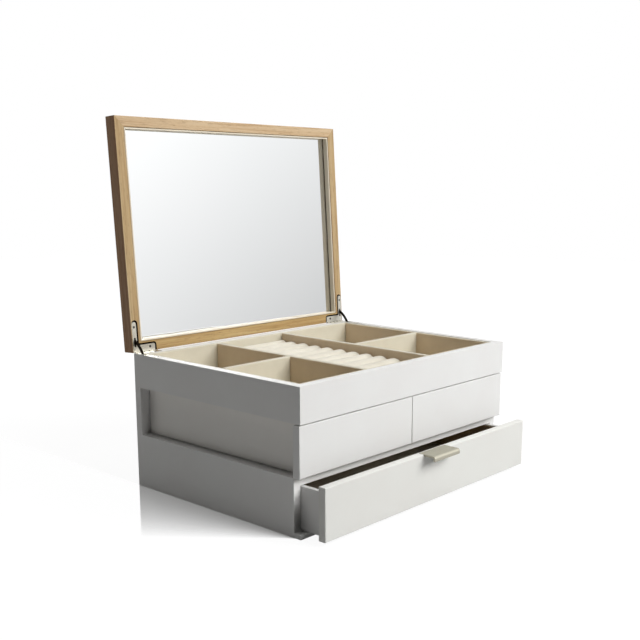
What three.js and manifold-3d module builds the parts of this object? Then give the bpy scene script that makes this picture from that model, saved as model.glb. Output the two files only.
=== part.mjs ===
import * as THREE from 'three';
import { mergeVertices } from 'three/addons/utils/BufferGeometryUtils.js';
import Module from 'manifold-3d';

// A jewellery box in three tiers: a lined tray under a mirrored lid, two small drawers side by side
// and one drawer of the full width below. Millimetres, +Z up. The front faces -Y and the origin is
// the middle of the base plate's underside. The lid stands open on its stays and the bottom drawer
// is a little way out.

// Case
const width = 343;
const depth = 253;
const board = 9;
const baseThickness = 5;
const lowerTierHeight = 45.5;
const middleTierHeight = 53.5;
const trayHeight = 36.5;
const trayFloorThickness = 5;
const sideInset = 11.5;
const dividerThickness = 6;

// Lined boards of the tray
const linerThickness = 5;
const padThickness = 1.5;
const linerDrop = 0.5;
const partitionThickness = 6.5;
const centreColumnWidth = 98.2;
const centreColumnOffset = -10.1;
const crossPartitionOffset = -4.85;

// Ring rolls
const rollPitch = 20.3;
const rollBelowRim = 8.2;
const rollShoulder = 7;
const rollSlit = 1;
const softGap = 0.3;

// Drawers
const frontThickness = 9;
const upperFrontSetback = 1;
const frontSeam = 1;
const upperFrontDrop = 1.5;
const lowerFrontDrop = 0.9;
const closedGap = 0.3;
const slidingGap = 0.3;
const drawerBoard = 5;
const drawerSideGap = 1;
const drawerRearGap = 2.5;
const lowerSideDrop = 0.8;
const upperSideDrop = 9;
const drawerBottomThickness = 3;
const grooveLift = 2.5;
const grooveDepth = 2;
const grooveEase = 0.2;
const drawerLiningThickness = 1.5;
const drawerLiningDrop = 1;
const frontEase = 1;
const lowerDrawerPull = 31.8;

// Tab pull of the bottom drawer
const tabWidth = 44;
const tabThickness = 2;
const tabProud = 0.3;
const tabReach = 14.2;
const tabDrop = 5.6;
const tabLand = 2;
const tabBend = 3;
const tabGap = 0.25;

// Lid
const lidSideInset = 1.3;
const lidThickness = 15.4;
const lidGap = 0.5;
const lidMember = 11.2;
const mirrorRecess = 7.2;
const mirrorThickness = 3;
const slipWidth = 1.6;
const slipGap = 0.5;
const slipRecess = 0.3;
const fitGap = 0.2;
const mitreGap = 0.1;
const openAngle = THREE.MathUtils.degToRad(93.81);

// Hinges
const axisBehind = 1.3;
const axisBelowRim = 1.32;
const knuckleRadius = 1.9;
const knuckleGap = 0.3;
const knuckleSpacing = 1.6;
const knuckles = 5;
const barrelLength = 30.8;
const pinRadius = 0.8;
const leafThickness = 1.2;
const leafOuterInset = 2.2;
const leafInnerInset = 1.2;
const leafLength = 33.7;
const limbShortfall = 1.8;
const leafCorner = 1.6;
const trayMortiseGap = 0.7;
const lidMortiseGap = 2;
const mortiseSideGap = 0.15;
const mortiseChannel = 3;
const screwHoleRadius = 1;
const countersinkRadius = 1.6;
const longScrewFromEdge = 2.8;
const longScrewFromBack = 28;
const shortScrewFromEdge = 22.3;
const shortScrewFromBack = 4.8;

// Stays, the bowed arms that stop the lid
const stayFootReach = 10.3;
const stayHeadReach = 14;
const stayBow = 1.3;
const stayWidth = 2.6;
const stayThickness = 1.8;
const stayFromEdge = 2;
const stayBarRadius = 1.1;
const stayBarLength = 4;
const stayGap = 0.3;

// Cutters reach this far past what they cut.
const overrun = 2;
const quarterTurn = Math.PI / 2;

// Corners lie on a grid that 32-bit numbers hold exactly, so faces that meet share one value.
const gridStep = 2 ** -10;
const snap = (value) => Math.round(value / gridStep) * gridStep;

// Facets
const roundSides = 20;
const cornerSteps = 4;
const frontEaseSteps = 3;
const rollSteps = 10;
const staySteps = 16;
const sectorSteps = 28;

// Levels and edges that follow from the sizes above
const halfWidth = width / 2;
const frontFace = -depth / 2;
const backFace = depth / 2;
const innerHalfWidth = halfWidth - board;
const innerFront = frontFace + board;
const innerBack = backFace - board;
const deckUnderside = baseThickness + lowerTierHeight;
const deckTop = deckUnderside + board;
const trayUnderside = deckTop + middleTierHeight;
const rim = trayUnderside + trayHeight;
const padTop = trayUnderside + trayFloorThickness + padThickness;
const linerTop = rim - linerDrop;
const panelOuter = halfWidth - sideInset;
const panelInner = panelOuter - board;
const axisY = backFace + axisBehind;
const axisZ = rim - axisBelowRim;
const lidUnderside = axisBelowRim + lidGap;
const lidTop = lidUnderside + lidThickness;
const lidHalfWidth = halfWidth - lidSideInset;
const lidBack = -axisBehind;
const lidFront = lidBack - depth;
const hingeEdge = halfWidth - leafOuterInset;
const leafWidth = board - leafOuterInset - leafInnerInset;
const shortLimbDepth = board - leafInnerInset;
const shortLimbLength = barrelLength - limbShortfall;

const wasm = await Module();
wasm.setup();

// Finishes: each call gives one sub-part its own material.
const whitePaint = () => new THREE.MeshStandardMaterial({ color: 0xe4e3df, roughness: 0.55, metalness: 0 });
const oak = () => new THREE.MeshStandardMaterial({ color: 0xc8a87d, roughness: 0.6, metalness: 0 });
const creamPaint = () => new THREE.MeshStandardMaterial({ color: 0xe0d3b8, roughness: 0.6, metalness: 0 });
const suede = () => new THREE.MeshStandardMaterial({ color: 0xded4c2, roughness: 0.95, metalness: 0 });
const plywood = () => new THREE.MeshStandardMaterial({ color: 0xb9a27f, roughness: 0.8, metalness: 0 });
const silvering = () => new THREE.MeshStandardMaterial({ color: 0xf2f4f4, roughness: 0.02, metalness: 1 });
const nickel = () => new THREE.MeshStandardMaterial({ color: 0xb9b4a6, roughness: 0.35, metalness: 1 });
const darkSteel = () => new THREE.MeshStandardMaterial({ color: 0x2b2622, roughness: 0.4, metalness: 0.8 });

// A named mesh in a group.
function add(group, name, geometry, material) {
  const mesh = new THREE.Mesh(geometry, material);
  mesh.name = name;
  group.add(mesh);
  return mesh;
}

// A plain board between two opposite corners.
function addBoard(group, name, material, low, high) {
  const lowest = new THREE.Vector3(...low.map(snap));
  const highest = new THREE.Vector3(...high.map(snap));
  const size = highest.clone().sub(lowest);
  const mesh = add(group, name, new THREE.BoxGeometry(size.x, size.y, size.z), material);
  mesh.position.copy(lowest.add(highest).divideScalar(2));
}

// A block between two opposite corners, as a geometry for cutting and joining.
function block(low, high) {
  const lowest = low.map(snap);
  const highest = high.map(snap);
  const [x, y, z] = highest.map((value, axis) => value - lowest[axis]);
  const middle = highest.map((value, axis) => (value + lowest[axis]) / 2);
  return new THREE.BoxGeometry(x, y, z).translate(...middle);
}

// An outline raised from zero to a height, before it is turned and moved to its place.
function prism(points, height) {
  const shape = new THREE.Shape(points.map(([u, v]) => new THREE.Vector2(snap(u), snap(v))));
  return new THREE.ExtrudeGeometry(shape, { depth: height, bevelEnabled: false });
}

// An outline drawn in X and Y, raised from one level to another.
function raise(points, low, high) {
  return prism(points, snap(high) - snap(low)).translate(0, 0, snap(low));
}

// An outline drawn in Y and Z, run across from one X to another.
function runAcross(points, low, high) {
  const geometry = prism(points, snap(high) - snap(low));
  const alongY = new THREE.Vector3(0, 1, 0);
  const alongZ = new THREE.Vector3(0, 0, 1);
  const alongX = new THREE.Vector3(1, 0, 0);
  geometry.applyMatrix4(new THREE.Matrix4().makeBasis(alongY, alongZ, alongX));
  return geometry.translate(snap(low), 0, 0);
}

// An outline drawn in X and Z, run back from one Y to another.
function runBack(points, low, high) {
  const geometry = prism(points, snap(high) - snap(low));
  return geometry.rotateX(quarterTurn).translate(0, snap(high), 0);
}

// A cylinder along X about a point in Y and Z.
function rod(radius, y, z, low, high) {
  const geometry = new THREE.CylinderGeometry(radius, radius, high - low, roundSides);
  return geometry.rotateZ(quarterTurn).translate((low + high) / 2, y, z);
}

// Points on an arc, both ends included.
function arc(centreU, centreV, radius, start, end, steps) {
  return Array.from({ length: steps + 1 }, (_, step) => {
    const angle = start + (end - start) * step / steps;
    return [centreU + radius * Math.cos(angle), centreV + radius * Math.sin(angle)];
  });
}

function toSolid(geometry) {
  const bare = geometry.clone();
  bare.deleteAttribute('normal');
  bare.deleteAttribute('uv');
  const welded = mergeVertices(bare);
  const vertProperties = Float32Array.from(welded.attributes.position.array);
  const triVerts = Uint32Array.from(welded.index.array);
  return new wasm.Manifold(new wasm.Mesh({ numProp: 3, vertProperties, triVerts }));
}

function toGeometry(solid) {
  const { vertProperties, triVerts } = solid.getMesh();
  const geometry = new THREE.BufferGeometry();
  geometry.setAttribute('position', new THREE.BufferAttribute(vertProperties, 3));
  geometry.setIndex(new THREE.BufferAttribute(triVerts, 1));
  geometry.computeVertexNormals();
  return geometry;
}

// The first shape joined with the others in joined, less all in removed.
function carve(geometry, removed, joined = []) {
  let solid = toSolid(geometry);
  joined.forEach((piece) => { solid = solid.add(toSolid(piece)); });
  removed.forEach((piece) => { solid = solid.subtract(toSolid(piece)); });
  return toGeometry(solid);
}

// The four members of a frame mitred at its corners, seen from above.
function mitred(half, near, far, member, gap) {
  const short = gap / Math.SQRT2;
  const rail = (outer, inner) => [
    [-half + short, outer], [half - short, outer],
    [half - member - short, inner], [-half + member + short, inner],
  ];
  const stile = (side) => [
    [side * half, near + short], [side * half, far - short],
    [side * (half - member), far - member - short], [side * (half - member), near + member + short],
  ];
  return {
    front: rail(near, near + member),
    back: rail(far, far - member),
    left: stile(-1),
    right: stile(1),
  };
}

// Hinge leaf seen from above, for the side -1 (left) or 1 (right). The long limb runs forward beside
// the edge and ends round, the short limb runs inward along the back. gap widens it for a mortise.
function leafOutline(side, back, gap, sideGap, reach) {
  const outer = hingeEdge + sideGap;
  const inner = hingeEdge - leafWidth - gap;
  const tip = back - leafLength - gap;
  const limbFront = back - shortLimbDepth - gap;
  const limbEnd = hingeEdge - shortLimbLength - gap;
  const round = (outer - inner) / 2;
  const corner = leafCorner + gap;
  const points = [
    [outer, back + reach],
    ...arc(inner + round, tip + round, round, 0, -Math.PI, roundSides / 2),
    [inner, limbFront],
    ...arc(limbEnd + corner, limbFront + corner, corner, -quarterTurn, -Math.PI, cornerSteps),
    [limbEnd, back + reach],
  ];
  return points.map(([x, y]) => [side * x, y]);
}

// A part of a ring about the hinge axis, drawn in Y and Z from the axis. Angles turn up from forward.
function ringSector(inner, outer, start, end) {
  const turn = (angle) => Math.PI - angle;
  return [
    ...arc(0, 0, outer, turn(start), turn(end), sectorSteps),
    ...arc(0, 0, inner, turn(end), turn(start), sectorSteps),
  ];
}

// X range of a strip that lies between two distances from the middle, on one side.
function strip(side, near, far) {
  return side > 0 ? [near, far] : [-far, -near];
}

// A point turned about the hinge axis. Stay points are distances forward of the axis and above it.
function turned([u, v], angle) {
  return [u * Math.cos(angle) - v * Math.sin(angle), u * Math.sin(angle) + v * Math.cos(angle)];
}

// Centre and radius of a stay's bow, from where its middle line passes the rim and the lid's underside.
const stayFoot = [stayFootReach, axisBelowRim];
const stayHead = turned([stayHeadReach, lidUnderside], openAngle);
const stayChord = Math.hypot(stayHead[0] - stayFoot[0], stayHead[1] - stayFoot[1]);
const bowRadius = (stayChord ** 2 / 4 + stayBow ** 2) / (2 * stayBow);
const bowOffset = (bowRadius - stayBow) / stayChord;
const bowCentre = [
  (stayFoot[0] + stayHead[0]) / 2 - (stayHead[1] - stayFoot[1]) * bowOffset,
  (stayFoot[1] + stayHead[1]) / 2 + (stayHead[0] - stayFoot[0]) * bowOffset,
];

// Angles about the bow's centre at which the cross bars lie against the backs of the two leaves.
const barDepth = leafThickness + stayGap + stayBarRadius;
const footAngle = Math.asin((axisBelowRim - barDepth - bowCentre[1]) / bowRadius);
const bowCentreInLid = turned(bowCentre, -openAngle);
const headAngle = openAngle + Math.asin((lidUnderside + barDepth - bowCentreInLid[1]) / bowRadius);
const bowPoint = (angle) => [
  bowCentre[0] + bowRadius * Math.cos(angle),
  bowCentre[1] + bowRadius * Math.sin(angle),
];
const footBar = bowPoint(footAngle);
const headBar = bowPoint(headAngle);

// Room that the stay sweeps, as distances and angles about the hinge axis.
const stayTurn = openAngle / 2;
const stayReach = Math.max(stayWidth / 2, stayBarRadius) + stayGap;
const innerEdge = arc(...bowCentre, bowRadius - stayWidth / 2, footAngle, headAngle, staySteps);
const stayNear = Math.min(...innerEdge.map((point) => Math.hypot(...point))) - stayGap;
const stayFar = Math.max(Math.hypot(...footBar), Math.hypot(...headBar)) + stayReach;
const sweepStart = Math.atan2(footBar[1], footBar[0]) - stayReach / Math.hypot(...footBar) - stayTurn;
const sweepEnd = Math.atan2(headBar[1], headBar[0]) + stayReach / Math.hypot(...headBar) - stayTurn;
const stayMiddle = hingeEdge - stayFromEdge - stayThickness / 2;

// Room for a stay over the whole turn, from the axis, between two angles and of a width across.
function stayRoom(side, start, end, span) {
  const reach = span / 2 + stayGap;
  const range = strip(side, stayMiddle - reach, stayMiddle + reach);
  return runAcross(ringSector(stayNear, stayFar, start, end), ...range);
}

// Distances from the middle between which a knuckle lies, counted from the outer end of the barrel.
function knuckleSpan(index) {
  const pitch = barrelLength / knuckles;
  const far = hingeEdge - pitch * index - knuckleSpacing / 2;
  return [far - pitch + knuckleSpacing, far];
}

// Cutters for one leaf: the mortise it lies in, open at one face, and a deeper channel round its inner
// edges. direction is 1 where the wood lies below that face and -1 where it lies above.
function mortiseCutters(side, back, face, gap, slack, direction) {
  const band = (near, far) => {
    return [face - direction * near, face - direction * far].sort((a, b) => a - b);
  };
  const widened = leafOutline(side, back, gap, mortiseSideGap, overrun);
  const fitted = leafOutline(side, back, 0, mortiseSideGap, overrun + overrun);
  const channel = raise(widened, ...band(0, mortiseChannel));
  const seat = raise(fitted, ...band(-overrun, mortiseChannel + overrun));
  return [raise(widened, ...band(-overrun, leafThickness + slack)), carve(channel, [seat])];
}

const boxKnuckles = Array.from({ length: knuckles }, (_, index) => index).filter((index) => index % 2 === 0);
const lidKnuckles = Array.from({ length: knuckles }, (_, index) => index).filter((index) => index % 2 === 1);

// Countersunk screw holes of one leaf. Each opens towards the face at level face.
function screwHoles(side, back, face, direction) {
  const places = [
    [hingeEdge - longScrewFromEdge, back - longScrewFromBack],
    [hingeEdge - shortScrewFromEdge, back - shortScrewFromBack],
  ];
  const profile = [
    new THREE.Vector2(0, -leafThickness - overrun),
    new THREE.Vector2(screwHoleRadius, -leafThickness - overrun),
    new THREE.Vector2(screwHoleRadius, screwHoleRadius - countersinkRadius),
    new THREE.Vector2(countersinkRadius, 0),
    new THREE.Vector2(countersinkRadius, overrun),
    new THREE.Vector2(0, overrun),
  ];
  return places.map(([x, y]) => {
    const hole = new THREE.LatheGeometry(profile, roundSides);
    hole.rotateX(direction * quarterTurn);
    return hole.translate(side * x, y, face);
  });
}

const box = new THREE.Group();

// Case
function addCase() {
  addBoard(box, 'base_plate', whitePaint(), [-halfWidth, frontFace, 0], [halfWidth, backFace, baseThickness]);
  addBoard(box, 'back_panel', whitePaint(),
    [-halfWidth, innerBack, baseThickness], [halfWidth, backFace, trayUnderside]);
  addBoard(box, 'deck', whitePaint(),
    [-halfWidth, innerFront, deckUnderside], [halfWidth, innerBack, deckTop]);
  const panelFront = frontFace + upperFrontSetback + frontThickness + closedGap;
  [['left', -1], ['right', 1]].forEach(([name, side]) => {
    const [lowerLow, lowerHigh] = strip(side, innerHalfWidth, halfWidth);
    addBoard(box, `lower_side_${name}`, whitePaint(),
      [lowerLow, innerFront, baseThickness], [lowerHigh, innerBack, deckUnderside]);
    const [middleLow, middleHigh] = strip(side, panelInner, panelOuter);
    addBoard(box, `middle_side_${name}`, whitePaint(),
      [middleLow, panelFront, deckTop], [middleHigh, innerBack, trayUnderside]);
  });
  addBoard(box, 'centre_divider', whitePaint(),
    [-dividerThickness / 2, panelFront, deckTop], [dividerThickness / 2, innerBack, trayUnderside]);
}

// Tray: mitred walls round a floor, with mortises for the hinges and pockets for the stays
function addTray() {
  addBoard(box, 'tray_floor', whitePaint(),
    [-innerHalfWidth, innerFront, trayUnderside],
    [innerHalfWidth, innerBack, trayUnderside + trayFloorThickness]);
  const walls = mitred(halfWidth, frontFace, backFace, board, 0);
  const cutters = { front: [], back: [], left: [], right: [] };
  [['left', -1], ['right', 1]].forEach(([name, side]) => {
    const mortise = mortiseCutters(side, backFace, rim, trayMortiseGap, 0, 1);
    const pocket = stayRoom(side, sweepStart, quarterTurn, stayBarLength).translate(0, axisY, axisZ);
    const barrel = rod(knuckleRadius + knuckleGap, axisY, axisZ,
      ...strip(side, hingeEdge - barrelLength - knuckleGap, hingeEdge + knuckleGap));
    cutters[name].push(...mortise, pocket, barrel);
    cutters.back.push(...mortise, pocket, barrel);
  });
  Object.entries(walls).forEach(([name, outline]) => {
    const wall = raise(outline, trayUnderside, rim);
    add(box, `tray_${name}`, carve(wall, cutters[name]), whitePaint());
  });
}

// Lining: a pad on the floor, lined boards against the walls, partitions between
function addTrayLining() {
  const padFloor = padTop - padThickness;
  addBoard(box, 'tray_floor_lining', suede(),
    [-innerHalfWidth, innerFront, padFloor], [innerHalfWidth, innerBack, padTop]);
  const linedHalfWidth = innerHalfWidth - linerThickness;
  const linedFront = innerFront + linerThickness;
  const linedBack = innerBack - linerThickness;
  addBoard(box, 'liner_front', suede(),
    [-innerHalfWidth, innerFront, padTop], [innerHalfWidth, linedFront, linerTop]);
  addBoard(box, 'liner_back', suede(),
    [-innerHalfWidth, linedBack, padTop], [innerHalfWidth, innerBack, linerTop]);
  const columnLeft = centreColumnOffset - centreColumnWidth / 2;
  const columnRight = centreColumnOffset + centreColumnWidth / 2;
  const crossFront = crossPartitionOffset - partitionThickness / 2;
  const crossBack = crossPartitionOffset + partitionThickness / 2;
  addBoard(box, 'liner_left', suede(),
    [-innerHalfWidth, linedFront, padTop], [-linedHalfWidth, linedBack, linerTop]);
  addBoard(box, 'liner_right', suede(),
    [linedHalfWidth, linedFront, padTop], [innerHalfWidth, linedBack, linerTop]);
  addBoard(box, 'partition_left', suede(),
    [columnLeft - partitionThickness, linedFront, padTop], [columnLeft, linedBack, linerTop]);
  addBoard(box, 'partition_right', suede(),
    [columnRight, linedFront, padTop], [columnRight + partitionThickness, linedBack, linerTop]);
  addBoard(box, 'cross_partition_left', suede(),
    [-linedHalfWidth, crossFront, padTop], [columnLeft - partitionThickness, crossBack, linerTop]);
  addBoard(box, 'cross_partition_right', suede(),
    [columnRight + partitionThickness, crossFront, padTop], [linedHalfWidth, crossBack, linerTop]);
  addRingRolls(columnLeft + softGap, columnRight - softGap, linedFront + softGap, linedBack - softGap);
}

// Ring rolls: one foam insert with round-topped rolls side by side, parted by narrow slits. A roll
// cut short by the wall ends the row at each side.
function addRingRolls(left, right, near, far) {
  const length = far - near;
  const crest = rim - rollBelowRim;
  const shoulder = crest - rollShoulder;
  const fullRolls = Math.max(Math.floor(length / rollPitch) - 1, 0);
  const endRoll = (length - fullRolls * rollPitch) / 2;
  const seams = [near];
  for (let roll = 0; roll <= fullRolls; roll += 1) {
    seams.push(near + endRoll + roll * rollPitch);
  }
  seams.push(far);
  const points = [[near, padTop + softGap]];
  for (let roll = 0; roll < seams.length - 1; roll += 1) {
    const start = seams[roll] + (roll > 0 ? rollSlit / 2 : 0);
    const end = seams[roll + 1] - (roll < seams.length - 2 ? rollSlit / 2 : 0);
    const half = (end - start) / 2;
    const depthBelow = shoulder - rollShoulder;
    points.push([start, depthBelow]);
    for (let step = 0; step <= rollSteps; step += 1) {
      const angle = Math.PI * (1 - step / rollSteps);
      points.push([start + half + half * Math.cos(angle), shoulder + rollShoulder * Math.sin(angle)]);
    }
    points.push([end, depthBelow]);
  }
  points.push([far, padTop + softGap]);
  add(box, 'ring_roll_insert', runAcross(points, left, right), suede());
}

// Drawer: an overlay front, two grooved sides, a back that stands on the bottom panel, and a lining.
// The box of the drawer lies between two X values and runs from behind its front to the rear.
function addDrawer(group, prefix, sizes) {
  const { left, right, frontLeft, frontRight, frontLow, frontHigh, frontY, floor, sideTop, notch } = sizes;
  const boxFront = frontY + frontThickness;
  const boxBack = innerBack - drawerRearGap;
  const panelLow = floor + grooveLift;
  const panelHigh = panelLow + drawerBottomThickness;
  const frontBoard = easedFront(frontLeft, frontRight, frontLow, frontHigh, frontY);
  add(group, `${prefix}_front`, notch ? carve(frontBoard, [notch]) : frontBoard, whitePaint());
  const sideProfile = (outer, inner) => {
    const groove = inner + Math.sign(outer - inner) * grooveDepth;
    return [
      [outer, floor], [inner, floor], [inner, panelLow], [groove, panelLow],
      [groove, panelHigh + grooveEase], [inner, panelHigh + grooveEase], [inner, sideTop], [outer, sideTop],
    ];
  };
  const innerLeft = left + drawerBoard;
  const innerRight = right - drawerBoard;
  const leftSide = runBack(sideProfile(left, innerLeft), boxFront, boxBack);
  const rightSide = runBack(sideProfile(right, innerRight), boxFront, boxBack);
  add(group, `${prefix}_side_left`, leftSide, whitePaint());
  add(group, `${prefix}_side_right`, rightSide, whitePaint());
  addBoard(group, `${prefix}_back`, whitePaint(),
    [innerLeft, boxBack - drawerBoard, panelHigh], [innerRight, boxBack, sideTop]);
  const tongue = grooveDepth - grooveEase;
  addBoard(group, `${prefix}_bottom`, plywood(),
    [innerLeft - tongue, boxFront, panelLow], [innerRight + tongue, boxBack, panelHigh]);
  const liningBack = boxBack - drawerBoard;
  const liningTop = sideTop - drawerLiningDrop;
  const lining = block([innerLeft, boxFront, panelHigh], [innerRight, liningBack, liningTop]);
  const hollow = block(
    [innerLeft + drawerLiningThickness, boxFront + drawerLiningThickness, panelHigh + drawerLiningThickness],
    [innerRight - drawerLiningThickness, liningBack - drawerLiningThickness, sideTop + overrun],
  );
  add(group, `${prefix}_lining`, carve(lining, [hollow]), suede());
}

// Front board with its face edges eased all round.
function easedFront(left, right, low, high, face) {
  const bevel = { depth: snap(frontThickness - frontEase), bevelThickness: frontEase, bevelSize: frontEase,
    bevelOffset: -frontEase, bevelSegments: frontEaseSteps };
  const corners = [[left, low], [right, low], [right, high], [left, high]];
  const shape = new THREE.Shape(corners.map(([x, z]) => new THREE.Vector2(snap(x), snap(z))));
  const eased = new THREE.ExtrudeGeometry(shape, bevel).rotateX(quarterTurn);
  eased.translate(0, snap(face) + frontThickness, 0);
  const behind = block([left - overrun, face + frontThickness, low - overrun],
    [right + overrun, face + frontThickness + overrun, high + overrun]);
  return carve(eased, [behind]);
}

// Tab pull: a plate let into the front's top edge, bent down in front of it
function tabOutline(face, top) {
  const tip = face - tabReach;
  const heel = face + frontThickness - tabLand;
  const inner = tabBend - tabThickness;
  return [
    [heel, top], [heel, top - tabThickness],
    ...arc(tip + tabBend, top - tabBend, inner, quarterTurn, Math.PI, cornerSteps),
    [tip + tabThickness, top - tabDrop], [tip, top - tabDrop],
    ...arc(tip + tabBend, top - tabBend, tabBend, Math.PI, quarterTurn, cornerSteps),
  ];
}

function addLowerDrawer() {
  const drawer = new THREE.Group();
  drawer.position.y = -snap(lowerDrawerPull);
  box.add(drawer);
  const frontY = innerFront - closedGap - frontThickness;
  const frontHigh = deckTop - lowerFrontDrop;
  const tabTop = frontHigh + tabProud;
  const notch = block(
    [-tabWidth / 2 - tabGap, frontY - overrun, tabTop - tabThickness],
    [tabWidth / 2 + tabGap, frontY + frontThickness - tabLand + tabGap, frontHigh + overrun],
  );
  addDrawer(drawer, 'bottom_drawer', {
    left: -innerHalfWidth + drawerSideGap,
    right: innerHalfWidth - drawerSideGap,
    frontLeft: -halfWidth,
    frontRight: halfWidth,
    frontLow: baseThickness + slidingGap,
    frontHigh,
    frontY,
    floor: baseThickness + slidingGap,
    sideTop: deckUnderside - lowerSideDrop,
    notch,
  });
  add(drawer, 'tab_pull', runAcross(tabOutline(frontY, tabTop), -tabWidth / 2, tabWidth / 2), nickel());
}

function addUpperDrawers() {
  const near = dividerThickness / 2 + drawerSideGap;
  const far = panelInner - drawerSideGap;
  [['left_drawer', -1], ['right_drawer', 1]].forEach(([prefix, side]) => {
    const drawer = new THREE.Group();
    box.add(drawer);
    const [left, right] = strip(side, near, far);
    const [frontLeft, frontRight] = strip(side, frontSeam / 2, halfWidth);
    addDrawer(drawer, prefix, {
      left,
      right,
      frontLeft,
      frontRight,
      frontLow: deckTop + slidingGap,
      frontHigh: trayUnderside - upperFrontDrop,
      frontY: frontFace + upperFrontSetback,
      floor: deckTop + slidingGap,
      sideTop: trayUnderside - upperSideDrop,
    });
  });
}

// Lid, built closed about the hinge axis and turned open. Its mirror lies against the top panel and
// is held by four slips.
function addLid() {
  const lid = new THREE.Group();
  lid.position.set(0, axisY, axisZ);
  lid.rotation.x = -openAngle;
  box.add(lid);
  const frame = mitred(lidHalfWidth, lidFront, lidBack, lidMember, mitreGap);
  const cutters = { front: [], back: [], left: [], right: [] };
  [['left', -1], ['right', 1]].forEach(([name, side]) => {
    const mortise = mortiseCutters(side, lidBack, lidUnderside, lidMortiseGap, fitGap, -1);
    const pocket = stayRoom(side, 0, sweepEnd, stayBarLength);
    cutters[name].push(...mortise, pocket);
    cutters.back.push(...mortise, pocket);
  });
  const names = {
    front: 'lid_rail_front',
    back: 'lid_rail_back',
    left: 'lid_stile_left',
    right: 'lid_stile_right',
  };
  Object.entries(frame).forEach(([name, outline]) => {
    const member = raise(outline, lidUnderside, lidTop);
    add(lid, names[name], carve(member, cutters[name]), oak());
  });
  const openingHalfWidth = lidHalfWidth - lidMember - fitGap;
  const openingFront = lidFront + lidMember + fitGap;
  const openingBack = lidBack - lidMember - fitGap;
  const mirrorFace = lidUnderside + mirrorRecess;
  const mirrorBack = mirrorFace + mirrorThickness;
  const corners = [[-openingHalfWidth, openingFront], [openingHalfWidth, openingBack]];
  addBoard(lid, 'mirror', silvering(), [...corners[0], mirrorFace], [...corners[1], mirrorBack]);
  addBoard(lid, 'lid_panel', oak(), [...corners[0], mirrorBack + fitGap], [...corners[1], lidTop]);
  const slips = mitred(lidHalfWidth - lidMember - slipGap, lidFront + lidMember + slipGap,
    lidBack - lidMember - slipGap, slipWidth, mitreGap);
  Object.entries(slips).forEach(([name, outline]) => {
    const slip = raise(outline, lidUnderside + slipRecess, mirrorFace - fitGap);
    add(lid, `mirror_slip_${name}`, slip, creamPaint());
  });
  addLidLeaf(lid, 'left', -1);
  addLidLeaf(lid, 'right', 1);
}

function addLidLeaf(lid, name, side) {
  const plate = raise(leafOutline(side, lidBack, 0, 0, 0), lidUnderside, lidUnderside + leafThickness);
  const joined = [];
  lidKnuckles.forEach((index) => {
    const range = strip(side, ...knuckleSpan(index));
    const web = [
      [lidBack - leafThickness, lidUnderside], [knuckleRadius - leafThickness, lidUnderside],
      [knuckleRadius - leafThickness, 0], [knuckleRadius, 0],
      [knuckleRadius, lidUnderside + leafThickness], [lidBack - leafThickness, lidUnderside + leafThickness],
    ];
    joined.push(rod(knuckleRadius, 0, 0, ...range), runAcross(web, ...range));
  });
  const bore = rod(pinRadius + knuckleGap, 0, 0,
    ...strip(side, hingeEdge - barrelLength - overrun, hingeEdge + overrun));
  const slot = stayRoom(side, 0, sweepEnd, stayThickness);
  const removed = [bore, slot, ...screwHoles(side, lidBack, lidUnderside, -1)];
  add(lid, `lid_leaf_${name}`, carve(plate, removed, joined), nickel());
}

function addBoxLeaf(name, side) {
  const plate = raise(leafOutline(side, backFace, 0, 0, 0), rim - leafThickness, rim);
  const joined = [];
  const removed = [];
  boxKnuckles.forEach((index) => {
    const [near, far] = knuckleSpan(index);
    joined.push(rod(knuckleRadius, axisY, axisZ, ...strip(side, near, far)));
    const [low, high] = strip(side, Math.max(near, hingeEdge - shortLimbLength), far);
    joined.push(block([low, backFace - leafThickness, rim - leafThickness], [high, axisY, rim]));
  });
  lidKnuckles.forEach((index) => {
    const [low, high] = strip(side, ...knuckleSpan(index));
    removed.push(rod(knuckleRadius + knuckleGap, axisY, axisZ, low - knuckleGap, high + knuckleGap));
  });
  const bore = rod(pinRadius + knuckleGap, axisY, axisZ,
    ...strip(side, hingeEdge - barrelLength - overrun, hingeEdge + overrun));
  const slot = stayRoom(side, sweepStart, quarterTurn, stayThickness).translate(0, axisY, axisZ);
  removed.push(bore, slot, ...screwHoles(side, backFace, rim, 1));
  add(box, `box_leaf_${name}`, carve(plate, removed, joined), nickel());
  const pin = rod(pinRadius, axisY, axisZ, ...strip(side, hingeEdge - barrelLength, hingeEdge));
  add(box, `hinge_pin_${name}`, pin, nickel());
}

// Stay: a bowed arm with a short cross bar at each end, which catches behind a leaf
function addStay(name, side) {
  const stay = new THREE.Group();
  stay.position.set(0, axisY, axisZ);
  box.add(stay);
  const outline = [
    ...arc(...bowCentre, bowRadius + stayWidth / 2, footAngle, headAngle, staySteps),
    ...arc(...bowCentre, bowRadius - stayWidth / 2, headAngle, footAngle, staySteps),
  ].map(([forward, up]) => [-forward, up]);
  const across = (span) => strip(side, stayMiddle - span / 2, stayMiddle + span / 2);
  const arm = runAcross(outline, ...across(stayThickness));
  const bars = [footBar, headBar].map(([forward, up]) => {
    return rod(stayBarRadius, -forward, up, ...across(stayBarLength));
  });
  add(stay, `${name}_stay`, carve(arm, [], bars), darkSteel());
}

addCase();
addTray();
addTrayLining();
addLowerDrawer();
addUpperDrawers();
addLid();
[['left', -1], ['right', 1]].forEach(([name, side]) => {
  addBoxLeaf(name, side);
  addStay(name, side);
});

export default box;
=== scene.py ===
"""Looks of a wooden jewellery box with a mirrored lid, built around its fixed frame. Metres."""

import math

import bmesh
import bpy
from mathutils import Matrix, Vector


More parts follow.
